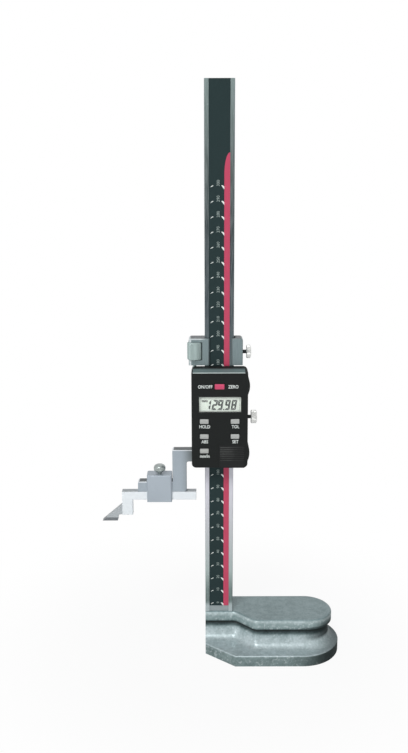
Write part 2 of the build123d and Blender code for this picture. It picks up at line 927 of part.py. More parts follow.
with BuildPart() as battery_cover:
    with BuildSketch(front_plane(housing_front + cover_thick)):
        rectangle_between(
            cover_x - cover_width / 2,
            cover_x + cover_width / 2,
            housing_bottom,
            cover_top,
        )
    extrude(amount=cover_thick)
    with BuildSketch(front_plane(housing_front + cover_thick)):
        rectangle_between(
            cover_x - cover_width / 2 - cover_tongue,
            cover_x + cover_width / 2 + cover_tongue,
            housing_bottom + housing_corner_bottom,
            cover_top,
        )
    extrude(amount=-cover_tongue_thick)
    with BuildSketch(front_plane(housing_front)):
        ribs_middle = cover_top - cover_rib_pitch * (cover_rib_count + 1) / 2
        with Locations((cover_x, ribs_middle)):
            with GridLocations(1, cover_rib_pitch, 1, cover_rib_count):
                Rectangle(cover_width - 2 * cover_rib_margin, cover_rib_height)
    extrude(amount=cover_rib_rise)
battery_cover.part.label = "battery_cover"
export_step(battery_cover.part, "parts/battery_cover.step")

# ================================================================ fine adjustment
block_inner_right = column_right + slide_gap + gib_thick + slide_gap

with BuildPart() as fine_block:
    with BuildSketch(Plane.XY.offset(block_bottom)):
        rectangle_between(block_left, block_right, -block_front, block_back)
        fillet(vertices().filter_by(lambda v: v.Y < 0), block_edge)
        fillet(vertices().filter_by(lambda v: v.Y > block_back - near), block_back_corner)
        rectangle_between(
            column_left - slide_gap,
            block_inner_right,
            column_front - slide_gap,
            column_back + slide_gap,
            mode=Mode.SUBTRACT,
        )
        rectangle_between(
            block_opening_left,
            block_opening_right,
            -block_front - overrun,
            column_front,
            mode=Mode.SUBTRACT,
        )
    extrude(amount=block_height)
    lips = fine_block.edges().filter_by(Axis.Z).filter_by(
        lambda edge: abs(edge.center().Y + block_front) < near
        and abs(edge.center().X) < column_right
    )
    chamfer(lips, lip_chamfer)
    with BuildSketch(front_plane(-block_front - overrun)):
        rectangle_between(
            block_left - overrun,
            block_right + overrun,
            block_bottom - overrun,
            block_top,
        )
        rectangle_between(
            block_left,
            block_right,
            block_bottom - 2 * block_top_corner,
            block_top,
            block_top_corner,
            mode=Mode.SUBTRACT,
        )
    extrude(amount=-(block_front + block_back + 2 * overrun), mode=Mode.SUBTRACT)
    with BuildSketch(Plane.XY.offset(nut_bottom - slide_gap)):
        rectangle_between(
            block_left - overrun,
            nut_x + nut_radius + nut_room,
            -block_front - overrun,
            nut_y + nut_radius + nut_room,
        )
    extrude(amount=nut_height + 2 * slide_gap, mode=Mode.SUBTRACT)
    with BuildSketch(Plane.XY.offset(block_bottom)):
        with Locations((nut_x, nut_y)):
            Circle(rod_diameter / 2 + turn_gap)
    extrude(amount=block_height, mode=Mode.SUBTRACT)
    with BuildSketch(Plane.YZ.offset(block_inner_right)):
        with Locations((0, fine_clamp_z)):
            Circle(clamp_thread / 2 + turn_gap)
    extrude(amount=block_right - block_inner_right, mode=Mode.SUBTRACT)
fine_block.part.label = "fine_block"
export_step(fine_block.part, "parts/fine_block.step")

with BuildPart() as fine_shoe:
    with BuildSketch(Plane.XY.offset(block_bottom + gib_end)):
        rectangle_between(column_right + slide_gap, block_inner_right, column_front, column_back)
    extrude(amount=block_height - 2 * gib_end)
fine_shoe.part.label = "fine_shoe"
export_step(fine_shoe.part, "parts/fine_shoe.step")

with BuildPart() as fine_nut:
    with BuildSketch(Plane.XY.offset(nut_bottom)):
        with Locations((nut_x, nut_y)):
            Circle(nut_radius)
    extrude(amount=nut_height)
    chamfer(fine_nut.edges().filter_by(GeomType.CIRCLE), nut_edge)
    with BuildSketch(Plane(origin=(nut_x, nut_y, nut_bottom), z_dir=(0, 0, 1))):
        Circle(nut_radius)
        knurled_circle(nut_radius, nut_knurl_count, nut_knurl_depth)
    extrude(amount=nut_height, mode=Mode.INTERSECT)
    with BuildSketch(Plane.XY.offset(nut_bottom)):
        with Locations((nut_x, nut_y)):
            Circle(rod_diameter / 2 + turn_gap)
    extrude(amount=nut_height, mode=Mode.SUBTRACT)
fine_nut.part.label = "fine_nut"
export_step(fine_nut.part, "parts/fine_nut.step")

with BuildPart() as fine_screw:
    with BuildSketch(Plane.XY.offset(rod_bottom)):
        with Locations((nut_x, nut_y)):
            Circle(rod_diameter / 2)
    extrude(amount=rod_top - rod_bottom)
    chamfer(fine_screw.edges().filter_by(GeomType.CIRCLE), rod_edge)
fine_screw.part.label = "fine_screw"
export_step(fine_screw.part, "parts/fine_screw.step")


# ================================================================ clamp screws
def clamp_screw_plane(x, z):
    """A plane across a clamp screw at the given X, centred on its axis."""
    return Plane(origin=(x, 0, z), x_dir=(0, 1, 0), z_dir=(1, 0, 0))


clamps = {
    "main_clamp_screw": (
        main_clamp_z,
        main_clamp_radius,
        main_clamp_head_x,
        main_clamp_head,
        slider_inner_right,
    ),
    "fine_clamp_screw": (
        fine_clamp_z,
        fine_clamp_radius,
        fine_clamp_head_x,
        fine_clamp_head,
        block_inner_right,
    ),
}
for name, (z, radius, head_x, head, inner_x) in clamps.items():
    with BuildPart() as clamp_screw:
        with BuildSketch(clamp_screw_plane(inner_x + slide_gap, z)):
            Circle(clamp_thread / 2)
        extrude(amount=head_x - inner_x)
        with BuildSketch(clamp_screw_plane(head_x, z)):
            knurled_circle(radius, knurl_count, knurl_depth)
        extrude(amount=head)
        with BuildSketch(clamp_screw_plane(head_x + head, z)):
            Circle(radius - knurl_depth - clamp_cap_inset)
        extrude(amount=clamp_cap_rise)
    clamp_screw.part.label = name
    export_step(clamp_screw.part, f"parts/{name}.step")

# ================================================================ scriber clamp
with BuildPart() as scriber_clamp:
    with BuildSketch(front_plane(-slider_front - slide_gap - box_wall)):
        rectangle_between(box_left, box_right, box_bottom, box_top)
    extrude(amount=-(arm_depth + 2 * slide_gap + 2 * box_wall))
    chamfer(scriber_clamp.edges().filter_by(Axis.Z), box_edge)
    rims = scriber_clamp.faces().sort_by(Axis.Y)[0].edges().filter_by(Axis.X)
    chamfer(rims, box_rim)
    with BuildSketch(Plane.YZ.offset(box_left)):
        rectangle_between(
            -slider_front - slide_gap,
            arm_back + slide_gap,
            box_bottom + box_floor,
            nose_top + slide_gap,
        )
    extrude(amount=box_right - box_left, mode=Mode.SUBTRACT)
    with BuildSketch(Plane.XY.offset(nose_top)):
        with Locations((box_screw_x, -slider_front + arm_depth / 2)):
            Circle(box_screw_thread / 2 + turn_gap)
    extrude(amount=box_roof + slide_gap, mode=Mode.SUBTRACT)
scriber_clamp.part.label = "scriber_clamp"
export_step(scriber_clamp.part, "parts/scriber_clamp.step")

screw_y = -slider_front + arm_depth / 2
dome_turns = [radians(90 * facet / dome_facets) for facet in range(1, dome_facets)]
knob_bottom = box_top + box_knob_neck
dome_bottom = knob_bottom + box_knob_band
with BuildPart() as scriber_clamp_screw:
    with BuildSketch(Plane.XY.offset(nose_top + slide_gap)):
        with Locations((box_screw_x, screw_y)):
            Circle(box_screw_thread / 2)
    extrude(amount=knob_bottom - nose_top - slide_gap)
    with BuildSketch(Plane(origin=(box_screw_x, screw_y, knob_bottom), z_dir=(0, 0, 1))):
        knurled_circle(box_knob_radius, knurl_count, knurl_depth)
    extrude(amount=box_knob_band)
    dome_plane = Plane(origin=(box_screw_x, screw_y, dome_bottom), x_dir=(1, 0, 0), z_dir=(0, -1, 0))
    with BuildSketch(dome_plane):
        dome_radius = box_knob_radius - knurl_depth
        with BuildLine():
            Polyline(
                (0, box_knob_dome),
                (0, 0),
                (dome_radius, 0),
                *[(dome_radius * cos(turn), box_knob_dome * sin(turn)) for turn in dome_turns],
                (0, box_knob_dome),
            )
        make_face()
    revolve(axis=Axis((box_screw_x, screw_y, dome_bottom), (0, 0, 1)))
scriber_clamp_screw.part.label = "scriber_clamp_screw"
export_step(scriber_clamp_screw.part, "parts/scriber_clamp_screw.step")

# ================================================================ scriber and its carbide tip
scriber_top = nose_bottom - slide_gap
scriber_bottom = scriber_top - scriber_height
tip_split = point_z + tip_height


nose_front = -slider_front + nose_setback


def nose_outline():
    """Draws the wedge-shaped nose from the front: a sloped left side, a flat end, a heel."""
    with BuildLine() as outline:
        Polyline(
            (scriber_left, wedge_top_z),
            (point_x, point_z),
            (heel_x, point_z),
            (heel_x + heel_slope, leg_bottom - heel_gap),
            (scriber_left, leg_bottom),
            close=True,
        )
    make_face(outline.edges())


with BuildPart() as scriber:
    with BuildSketch(front_plane(-slider_front)):
        rectangle_between(scriber_left, scriber_right, scriber_bottom, scriber_top)
        rectangle_between(scriber_left, scriber_left + leg_width, leg_bottom, scriber_top)
    extrude(amount=-scriber_depth)
    chamfer(scriber.faces().sort_by(Axis.Y)[0].edges(), scriber_edge)
    with BuildSketch(front_plane(nose_front)):
        nose_outline()
        rectangle_between(point_x, scriber_left, point_z, tip_split, mode=Mode.SUBTRACT)
    extrude(amount=-(scriber_depth - nose_setback))
scriber.part.label = "scriber"
export_step(scriber.part, "parts/scriber.step")

with BuildPart() as scriber_tip:
    with BuildSketch(front_plane(nose_front)):
        nose_outline()
        rectangle_between(point_x, scriber_left, point_z, tip_split, mode=Mode.INTERSECT)
        heel = vertices().sort_by(Axis.Y)[:2].sort_by(Axis.X)[-1]
        fillet(heel, heel_round)
    extrude(amount=-(scriber_depth - nose_setback))
scriber_tip.part.label = "scriber_tip"
export_step(scriber_tip.part, "parts/scriber_tip.step")
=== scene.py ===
"""Looks of a digital height gauge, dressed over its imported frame. Lengths in millimetres become
metres through MM where a mesh, a place in a finish or a lamp is written."""

from math import pi, radians, tan

import bmesh
import bpy
import numpy as np
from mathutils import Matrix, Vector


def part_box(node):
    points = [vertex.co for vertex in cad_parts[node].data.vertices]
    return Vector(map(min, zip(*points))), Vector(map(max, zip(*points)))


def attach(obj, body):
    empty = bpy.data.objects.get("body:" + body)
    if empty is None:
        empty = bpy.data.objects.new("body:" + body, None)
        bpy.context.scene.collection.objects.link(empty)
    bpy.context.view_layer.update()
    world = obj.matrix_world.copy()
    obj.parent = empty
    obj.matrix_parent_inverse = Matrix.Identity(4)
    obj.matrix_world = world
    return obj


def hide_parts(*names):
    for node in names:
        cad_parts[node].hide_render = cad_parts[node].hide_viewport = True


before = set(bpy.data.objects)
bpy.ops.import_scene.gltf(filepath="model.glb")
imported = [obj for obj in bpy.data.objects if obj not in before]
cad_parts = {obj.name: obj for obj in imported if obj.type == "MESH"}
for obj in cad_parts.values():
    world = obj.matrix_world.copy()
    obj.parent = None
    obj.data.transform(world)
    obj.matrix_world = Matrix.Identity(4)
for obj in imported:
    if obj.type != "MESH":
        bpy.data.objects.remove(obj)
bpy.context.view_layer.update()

MM = 0.001


# ---------------------------------------------------------------- camera
# A normal lens a little over half a metre in front of the column, level with its upper half and
# tilted down, so that the base's top and the slider's top edges are seen.
camera_distance = 550.0
camera_height = 333.8
camera_side = -10.15
camera_roll = 0.18  # degrees, clockwise as seen from behind the camera
camera_tilt = 12.934
camera_lens = 38.73

camera_data = bpy.data.cameras.new("camera")
camera_data.lens = camera_lens
camera_data.clip_start = 0.01
camera = bpy.data.objects.new("camera", camera_data)
camera.location = (camera_side * MM, -camera_distance * MM, camera_height * MM)
camera.rotation_euler = (radians(90 - camera_tilt), radians(camera_roll), 0)
bpy.context.scene.collection.objects.link(camera)
bpy.context.scene.camera = camera


# ---------------------------------------------------------------- table and light
# A white table that carries on into a white surround, and three soft lamps: a large one high in
# front, a lower one that keeps upright faces bright, and a weak one on the right.
floor_half = 3000.0
floor_mesh = bpy.data.meshes.new("table_top")
corners = floor_half * MM * np.array([(-1, -1, 0), (1, -1, 0), (1, 1, 0), (-1, 1, 0)], float)
floor_mesh.from_pydata(corners.tolist(), [], [(0, 1, 2, 3)])
table_top = bpy.data.objects.new("table_top", floor_mesh)
bpy.context.scene.collection.objects.link(table_top)


# Shader nodes are written as plain expressions: a Wire adds the maths, and any other node comes
# from new_node.
class Wire:
    """An output socket of a shader node, to which Python's operators add Math nodes."""

    def __init__(self, tree, socket):
        self.tree, self.socket = tree, socket

    def maths(self, operation, *values):
        sockets = dict(enumerate(values))
        return new_node(self.tree, "ShaderNodeMath", "Value", {"operation": operation}, sockets)

    def __add__(self, other):
        return self.maths("ADD", self, other)

    def __radd__(self, other):
        return self.maths("ADD", other, self)

    def __sub__(self, other):
        return self.maths("SUBTRACT", self, other)

    def __rsub__(self, other):
        return self.maths("SUBTRACT", other, self)

    def __mul__(self, other):
        return self.maths("MULTIPLY", self, other)

    def __rmul__(self, other):
        return self.maths("MULTIPLY", other, self)

    def larger(self, other):
        """The larger of two wires."""
        return self.maths("MAXIMUM", self, other)

    def smooth(self, low, high):
        """0 below low, 1 above high, and a smooth ramp between them."""
        settings = {"interpolation_type": "SMOOTHSTEP"}
        sockets = {"Value": self, "From Min": low, "From Max": high}
        return new_node(self.tree, "ShaderNodeMapRange", "Result", settings, sockets)

    def past(self, low, high):
        """The same ramp between two places in millimetres."""
        return self.smooth(low * MM, high * MM)

    def between(self, start, full, fading, end):
        """1 from full to fading, 0 outside start and end, with a ramp on each side, in millimetres."""
        return self.past(start, full) * (1.0 - self.past(fading, end))


def new_node(tree, kind, output, settings=None, sockets=None):
    """Adds one node and returns one of its outputs as a wire. The settings, among them a ramp's
    stops, are set first, then the sockets, by name or number, each to a value or a wire."""
    node = tree.nodes.new(kind)
    for key, value in (settings or {}).items():
        if key == "stops":
            while len(node.color_ramp.elements) < len(value):
                node.color_ramp.elements.new(0.5)
            for element, (position, shade) in zip(node.color_ramp.elements, value):
                element.position = position
                element.color = shade
        else:
            setattr(node, key, value)
    for key, value in (sockets or {}).items():
        if isinstance(value, Wire):
            tree.links.new(value.socket, node.inputs[key])
        else:
            node.inputs[key].default_value = value
    return Wire(tree, node.outputs[output])


def seen_directly(tree):
    """1 for rays from the camera, from glossy surfaces and through glass, and 0 for the rest."""
    camera_ray = new_node(tree, "ShaderNodeLightPath", "Is Camera Ray")
    glossy_ray = new_node(tree, "ShaderNodeLightPath", "Is Glossy Ray")
    glass_ray = new_node(tree, "ShaderNodeLightPath", "Is Transmission Ray")
    return camera_ray.larger(glossy_ray).larger(glass_ray)


def surface(tree, output, amount, first, second):
    """Ends a tree in two shaders, mixed by a wire that runs from 0 to 1."""
    mixed = new_node(tree, "ShaderNodeMixShader", "Shader", None, {0: amount, 1: first, 2: second})
    tree.links.new(mixed.socket, tree.nodes[output].inputs["Surface"])


full_white = (1, 1, 1, 1)
shadow_share = 0.08  # how much of the table's own shading the camera sees near the base
shadow_full, shadow_gone = 60.0, 240.0  # distances from the middle over which it fades to white
table = bpy.data.materials.new("table_white")
table.use_nodes = True
table_tree = table.node_tree
paper = table_tree.nodes["Principled BSDF"]
paper.inputs["Base Color"].default_value = (0.92, 0.92, 0.92, 1)
paper.inputs["Roughness"].default_value = 0.9
paper.inputs["Specular IOR Level"].default_value = 0.0
shaded = Wire(table_tree, paper.outputs["BSDF"])
glow_sockets = {"Color": full_white, "Strength": 1.0}
glow = new_node(table_tree, "ShaderNodeEmission", "Emission", None, glow_sockets)
table_place = new_node(table_tree, "ShaderNodeTexCoord", "Object")
length = {"operation": "LENGTH"}
from_middle = new_node(table_tree, "ShaderNodeVectorMath", "Value", length, {0: table_place})
whiteness = (1 - shadow_share) + shadow_share * from_middle.past(shadow_full, shadow_gone)
surface(table_tree, "Material Output", seen_directly(table_tree) * whiteness, shaded, glow)
floor_mesh.materials.append(table)

world = bpy.data.worlds.new("white_surround")
world.use_nodes = True
bpy.context.scene.world = world
world_tree = world.node_tree
fill = world_tree.nodes["Background"]
fill.inputs["Color"].default_value = (0.93, 0.97, 1.0, 1)
fill.inputs["Strength"].default_value = 0.2
soft_fill = Wire(world_tree, fill.outputs["Background"])
white = new_node(world_tree, "ShaderNodeBackground", "Background", None, glow_sockets)
surface(world_tree, "World Output", seen_directly(world_tree), soft_fill, white)


def lamp(name, place, target, size, power):
    """A square soft lamp at place, in millimetres, turned towards target."""
    data = bpy.data.lights.new(name, "AREA")
    data.size, data.energy = size * MM, power
    light = bpy.data.objects.new(name, data)
    aim = np.array(target, float) - np.array(place, float)
    reach = float(np.linalg.norm(aim))
    light.location = [value * MM for value in place]
    light.rotation_euler = (
        float(np.arccos(-aim[2] / reach)),
        0.0,
        float(np.arctan2(aim[1], aim[0])) - pi / 2,
    )
    bpy.context.scene.collection.objects.link(light)


lamp("key_lamp", (-600, -1700, 2000), (0, 0, 150), 800, 34.0)
lamp("front_lamp", (-700, -1000, 60), (0, 0, 120), 350, 4.0)
lamp("right_lamp", (700, -600, 400), (0, 0, 150), 400, 0.6)
bpy.context.scene.view_settings.view_transform = "Standard"


# ---------------------------------------------------------------- base casting
# Grey iron, cast with a cove under its top plate, and finished in a hammered grey-green enamel
# that gathers into a fine orange-peel relief. Two screws from below and a dowel hold the column.

def colour(red, green, blue):
    """Display values 0 to 255 as the linear colour that a shader's socket takes."""
    channels = np.array([red, green, blue]) / 255
    linear = np.where(channels <= 0.04045, channels / 12.92, ((channels + 0.055) / 1.055) ** 2.4)
    return (*linear.tolist(), 1.0)


mix_factor, mix_first, mix_second, mix_result = 0, 6, 7, 2  # a Mix node's sockets for colours


class Finish:
    """One material with its shader: constants go on the sockets, patterns are linked to them."""

    def __init__(self, name, **constants):
        self.material = bpy.data.materials.new(name)
        self.material.use_nodes = True
        self.tree = self.material.node_tree
        self.shader = self.tree.nodes["Principled BSDF"]
        self.place = self.node("ShaderNodeTexCoord", "Object")
        for socket, value in constants.items():
            self.shader.inputs[socket.replace("_", " ")].default_value = value

    def node(self, kind, output, settings=None, **sockets):
        """Adds a node to this finish, with an underscore for each space in a socket's name."""
        named = {key.replace("_", " "): value for key, value in sockets.items()}
        return new_node(self.tree, kind, output, settings, named)

    def axis(self, letter):
        """The place along one axis."""
        return self.node("ShaderNodeSeparateXYZ", letter, Vector=self.place)

    def stretched(self, x, y, z):
        """The place multiplied along each axis, so that a pattern is stretched out along the others.
        """
        return self.node("ShaderNodeMapping", "Vector", Vector=self.place, Scale=(x, y, z))

    def noise(self, scale, detail=2.0, vector=None):
        """Cloudy noise from 0 to 1 at a scale per metre, at the place or at another vector."""
        vector = vector or self.place
        return self.node("ShaderNodeTexNoise", "Fac", Vector=vector, Scale=scale, Detail=detail)

    def blend(self, amount, first, second):
        """Mixes two colours by a wire that runs from 0 to 1."""
        sockets = {mix_factor: amount, mix_first: first, mix_second: second}
        return new_node(self.tree, "ShaderNodeMix", mix_result, {"data_type": "RGBA"}, sockets)

    def ramp(self, amount, low, high, stops):
        """Runs through colours placed from low to high along a wire: rows of (place, colour)."""
        placed = [((place - low) / (high - low), shade) for place, shade in stops]
        share = (amount - low * MM) * (1 / ((high - low) * MM))
        return self.node("ShaderNodeValToRGB", "Color", {"stops": placed}, Fac=share)

    def feed(self, socket, wire):
        self.tree.links.new(wire.socket, self.shader.inputs[socket])

    def grained(self, grain, dark, light, rough, rough_span):
        """Base colour from dark to light and roughness from rough upwards, both along a grain."""
        self.feed("Base Color", self.blend(grain, colour(*dark), colour(*light)))
        self.feed("Roughness", rough + rough_span * grain)

    def bump(self, height, strength, depth):
        """Feeds a height wire to the shader's normal, depth in millimetres."""
        sockets = {"Height": height, "Strength": strength, "Distance": depth * MM}
        self.feed("Normal", new_node(self.tree, "ShaderNodeBump", "Normal", None, sockets))


def dress(finish, *names):
    """Gives CAD nodes a finish in place of the plain one that they arrive with."""
    for name in names:
        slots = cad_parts[name].data.materials
        slots.clear()
        slots.append(finish.material)


enamel = Finish("hammered_enamel", Metallic=0.2, Specular_IOR_Level=0.3, Coat_Roughness=0.28)
pools = enamel.node(
    "ShaderNodeTexVoronoi",
    "Distance",
    {"feature": "SMOOTH_F1"},
    Vector=enamel.place,
    Scale=620.0,
    Smoothness=0.7,
)
drift = enamel.noise(70.0, 3.0)
fleck = enamel.noise(700.0, 2.0)
tone = (0.35 * fleck + 0.3 * drift + 0.35 * enamel.noise(230.0, 2.0)).smooth(0.36, 0.64)
enamel_height = enamel.axis("Z")
enamel_along = enamel.axis("X")
# the enamel's colour by height holds painted light and shade: the foot's upright edge is painted
# darker, its top and the cove carry a painted highlight, the corner under the plate is a painted
# shadow, the plate's lower rounding is painted darker, its upper rim carries a painted highlight
# and its top is painted darker as a painted reflection; each row is a height, with the colours of
# the enamel where it lies thin and where it has gathered
enamel_light_rows = (
    (5.0, (96, 114, 114), (124, 142, 142)),
    (7.2, (104, 122, 122), (134, 152, 152)),
    (7.8, (166, 182, 184), (192, 206, 209)),
    (14.0, (160, 176, 178), (196, 209, 212)),
    (16.4, (140, 158, 160), (176, 192, 195)),
    (18.2, (56, 74, 75), (92, 110, 111)),
    (20.0, (16, 28, 29), (34, 48, 49)),
    (22.7, (16, 28, 29), (34, 48, 49)),
    (23.2, (84, 104, 105), (112, 132, 133)),
    (24.5, (122, 142, 143), (148, 167, 168)),
    (26.5, (126, 146, 147), (152, 171, 172)),
    (28.6, (156, 174, 175), (192, 207, 208)),
    (29.6, (119, 139, 141), (145, 164, 167)),
)
enamel_top = 30.0
thin_stops = [(level, colour(*thin)) for level, thin, gathered in enamel_light_rows]
gathered_stops = [(level, colour(*gathered)) for level, thin, gathered in enamel_light_rows]
thin_enamel = enamel.ramp(enamel_height, 0.0, enamel_top, thin_stops)
gathered_enamel = enamel.ramp(enamel_height, 0.0, enamel_top, gathered_stops)
skin = enamel.blend(tone, thin_enamel, gathered_enamel)
sparkle = enamel.noise(480.0, 2.0).smooth(0.56, 0.7)
below_top = 1.0 - enamel_height.past(29.3, 29.9)
on_plate = enamel_height.past(22.8, 23.4)
# the band of painted shadow under the plate, kept free of glints and of coat
under_plate_shadow = enamel_height.past(16.4, 18.2) * (1.0 - on_plate)
skin = enamel.blend(0.3 * sparkle * below_top * (1.0 - under_plate_shadow), skin, colour(226, 236, 238))
above_foot = enamel_height.past(12.0, 15.0)
cove = above_foot * (1.0 - on_plate)
plate_edge = on_plate * below_top * (1.0 - 0.5 * enamel_height.past(25.0, 28.0))
plate_rounding = on_plate * (1.0 - enamel_height.past(23.6, 25.2))
foot_top = 1.0 - above_foot
foot_edge = 1.0 - enamel_height.past(7.2, 8.0)
# towards the round end a painted shade darkens the enamel: each row is a part of the casting,
# the stretch along it over which the painted shade comes in, and the share that it reaches
painted_shade_parts = (
    (cove, 54.0, 82.0, 0.96),
    (plate_edge, 66.0, 80.0, 0.75),
    (plate_rounding, 54.0, 70.0, 0.7),
    (foot_top, 68.0, 88.0, 0.65),
    (foot_edge, 47.0, 80.0, 0.9),
)
unshaded = 1.0
for part, start, end, share in painted_shade_parts:
    unshaded = unshaded * (1.0 - share * part * enamel_along.past(start, end))
# painted shade towards the round end
enamel.feed("Base Color", enamel.blend(1.0 - unshaded, skin, colour(8, 22, 22)))
enamel.feed("Coat Weight", 0.25 * unshaded * (1.0 - under_plate_shadow))
enamel.feed("Roughness", 0.24 + 0.2 * fleck + 0.55 * (1.0 - unshaded))  # rougher where the shade is painted
enamel.bump(pools + 0.8 * fleck, 0.35, 0.1)
dress(enamel, "base_casting")


# ---------------------------------------------------------------- column and printed scale
# A ground steel bar with a shallow groove down its front. The groove holds a printed strip, dark
# green-grey, with white wedges every ten millimetres, figures that read upwards and a red stripe.
satin = Finish("satin_steel", Metallic=0.3, Specular_IOR_Level=0.2)
brush = satin.noise(60.0, 3.0, satin.stretched(60, 60, 1.5))
bar_height = satin.axis("Z")
bar_low, bar_high = 30.0, 405.0
# painted reflection: the bar is painted dark above the slider's usual place and light below it, and
# darker again just above the base
bar_reflection = satin.ramp(
    bar_height,
    bar_low,
    bar_high,
    [
        (35.0, colour(174, 186, 188)),
        (38.0, colour(98, 114, 111)),
        (48.0, colour(110, 126, 123)),
        (62.0, colour(168, 182, 180)),
        (95.0, colour(198, 200, 204)),
        (125.0, colour(216, 214, 224)),
        (212.0, colour(96, 108, 111)),
        (250.0, colour(56, 66, 72)),
        (300.0, colour(44, 54, 58)),
        (350.0, colour(80, 90, 89)),
        (402.0, colour(118, 134, 132)),
    ],
)


def corners(box):
    """The lowest and the highest corner of a CAD node's box, in millimetres."""
    return [np.array(corner) / MM for corner in box]


column_front = corners(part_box("column"))[0][1]
behind_front = satin.axis("Y").past(column_front + 0.05, column_front + 0.4)
# behind the front face the painted reflection gives way to a plain satin grey
bar_reflection = satin.blend(0.8 * behind_front, bar_reflection, colour(142, 152, 154))
satin.feed("Base Color", satin.blend(0.22 * brush.smooth(0.3, 0.7), bar_reflection, colour(186, 196, 198)))
satin.feed("Roughness", 0.34 + 0.14 * brush)
satin.bump(brush, 0.25, 0.02)
dress(satin, "column")

film = Finish("scale_film", Metallic=0.0, Specular_IOR_Level=0.05)
film_grain = film.noise(1500.0, 2.0)
film.grained(film_grain, (40, 54, 55), (49, 63, 64), 0.42, 0.1)
dress(film, "scale_strip")

film_low, film_high = corners(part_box("scale_strip"))
print_thick = 0.02
mark_zero = 36.4  # height of the scale's zero mark
mark_pitch = 10.0
mark_count = 31


def add_mesh(name, points, faces, finish, body):
    """Puts points, in millimetres, and faces into a new piece that rides on a body."""
    mesh = bpy.data.meshes.new(name)
    mesh.from_pydata((np.asarray(points, float) * MM).tolist(), [], [list(f) for f in faces])
    mesh.validate()
    mesh.materials.append(finish.material)
    piece = bpy.data.objects.new(name, mesh)
    bpy.context.scene.collection.objects.link(piece)
    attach(piece, body)
    return piece


def printed_shapes(outlines, y, thick):
    """Closed flat prisms: each outline is a row of (x, z) points, anticlockwise from the front;
    the front points lie thick before y and the back points on y."""
    points, faces = [], []
    for outline in outlines:
        outline = np.asarray(outline, float)
        count, start = len(outline), len(points)
        for depth in (y - thick, y):
            points += np.column_stack(
                [outline[:, 0], np.full(count, depth), outline[:, 1]]
            ).tolist()
        faces.append(list(range(start, start + count)))
        faces.append(list(range(start + 2 * count - 1, start + count - 1, -1)))
        turn = np.arange(count)
        after = (turn + 1) % count
        sides = np.column_stack([turn, turn + count, after + count, after]) + start
        faces += sides.tolist()
    return points, faces


stripe_width = 3.8
stripe_full = 344.0  # the stripe keeps its width up to here
stripe_tip = 358.0  # and runs out here
stripe_points = 13
rise = np.linspace(0, 1, stripe_points)
stripe_right = film_high[0]
curve = np.column_stack(
    [
        stripe_right - stripe_width * np.cos(rise * pi / 2),
        stripe_full + (stripe_tip - stripe_full) * np.sin(rise * pi / 2),
    ]
)
stripe = [(stripe_right - stripe_width, film_low[2]), (stripe_right, film_low[2])]
stripe += curve[::-1].tolist()
red_print = Finish("red_print", Metallic=0.0, Specular_IOR_Level=0.2)
red_grain = red_print.noise(1800.0)
red_print.grained(red_grain, (190, 70, 98), (204, 80, 108), 0.38, 0.12)
points, faces = printed_shapes([stripe], film_low[1], print_thick)
add_mesh("scale_stripe", points, faces, red_print, "base")

white_print = Finish("white_print", Metallic=0.0, Specular_IOR_Level=0.2)
white_grain = white_print.noise(1800.0)
white_print.grained(white_grain, (232, 240, 236), (244, 249, 246), 0.45, 0.1)
heights = mark_zero + mark_pitch * np.arange(mark_count)
# corners of the two wedges at a mark, from the column's middle and the mark's own height
left_wedge = np.array([(-6.1, -0.7), (-4.0, 0.3), (-4.2, 0.75), (-5.3, 0.2)])
right_wedge = np.array([(1.2, 0.6), (3.2, -2.0), (3.2, -0.2), (2.2, 0.7)])
wedges = [shape + (0, place) for place in heights for shape in (left_wedge, right_wedge)]
points, faces = printed_shapes(wedges, film_low[1], print_thick)
add_mesh("scale_marks", points, faces, white_print, "base")

font_capital = 0.729  # height of a capital in the font at size 1
weld = 1e-5  # how close two points of a letter are to be one, at size 1


def lettering(name, rows, height, finish, body, y, thick, upright=False, bold=0.0, narrow=1.0):
    """Words as one mesh: each row is (text, x, z), centred on x with its foot on z, in
    millimetres. An upright row reads upwards instead: centred on x, it starts at z. Bold
    thickens the strokes, at the font's size 1, and narrow is the share of the font's own width
    that the words keep."""
    points, faces = [], []
    for text, x, z in rows:
        data = bpy.data.curves.new(name, "FONT")
        data.body = text
        data.size = 1.0
        data.offset = bold
        data.resolution_u = 3
        data.extrude = 0.5
        source = bpy.data.objects.new(name, data)
        mesh = bpy.data.meshes.new_from_object(source)
        letters = bmesh.new()  # a font's front, back and sides arrive apart, and are joined here
        letters.from_mesh(mesh)
        bmesh.ops.remove_doubles(letters, verts=letters.verts, dist=weld)
        letters.to_mesh(mesh)
        letters.free()
        flat = np.zeros(len(mesh.vertices) * 3)
        mesh.vertices.foreach_get("co", flat)
        flat = flat.reshape(-1, 3)
        size = height / font_capital
        middle = narrow * (flat[:, 0].min() + flat[:, 0].max()) / 2
        along, up = flat[:, 0] * size * narrow, flat[:, 1] * size
        depth = y - thick * (flat[:, 2] + 0.5)
        if upright:
            place = np.column_stack([x - up + height / 2, depth, z + along])
        else:
            place = np.column_stack([x + along - middle * size, depth, z + up])
        start = len(points)
        points += place.tolist()
        faces += [[start + i for i in polygon.vertices] for polygon in mesh.polygons]
        bpy.data.objects.remove(source)
        bpy.data.curves.remove(data)
        bpy.data.meshes.remove(mesh)
    add_mesh(name, points, faces, finish, body)


figure_print = Finish("figure_print", Metallic=0.0, Specular_IOR_Level=0.2)
figure_grain = figure_print.noise(1800.0)
figure_print.grained(figure_grain, (150, 164, 160), (176, 188, 184), 0.45, 0.1)
figure_height = 2.0
figure_x = -0.9
figures = [(f"{mark_pitch * step:.0f}", figure_x, place) for step, place in enumerate(heights)]
lettering(
    "scale_figures",
    figures,
    figure_height,
    figure_print,
    "base",
    film_low[1],
    print_thick,
    upright=True,
)


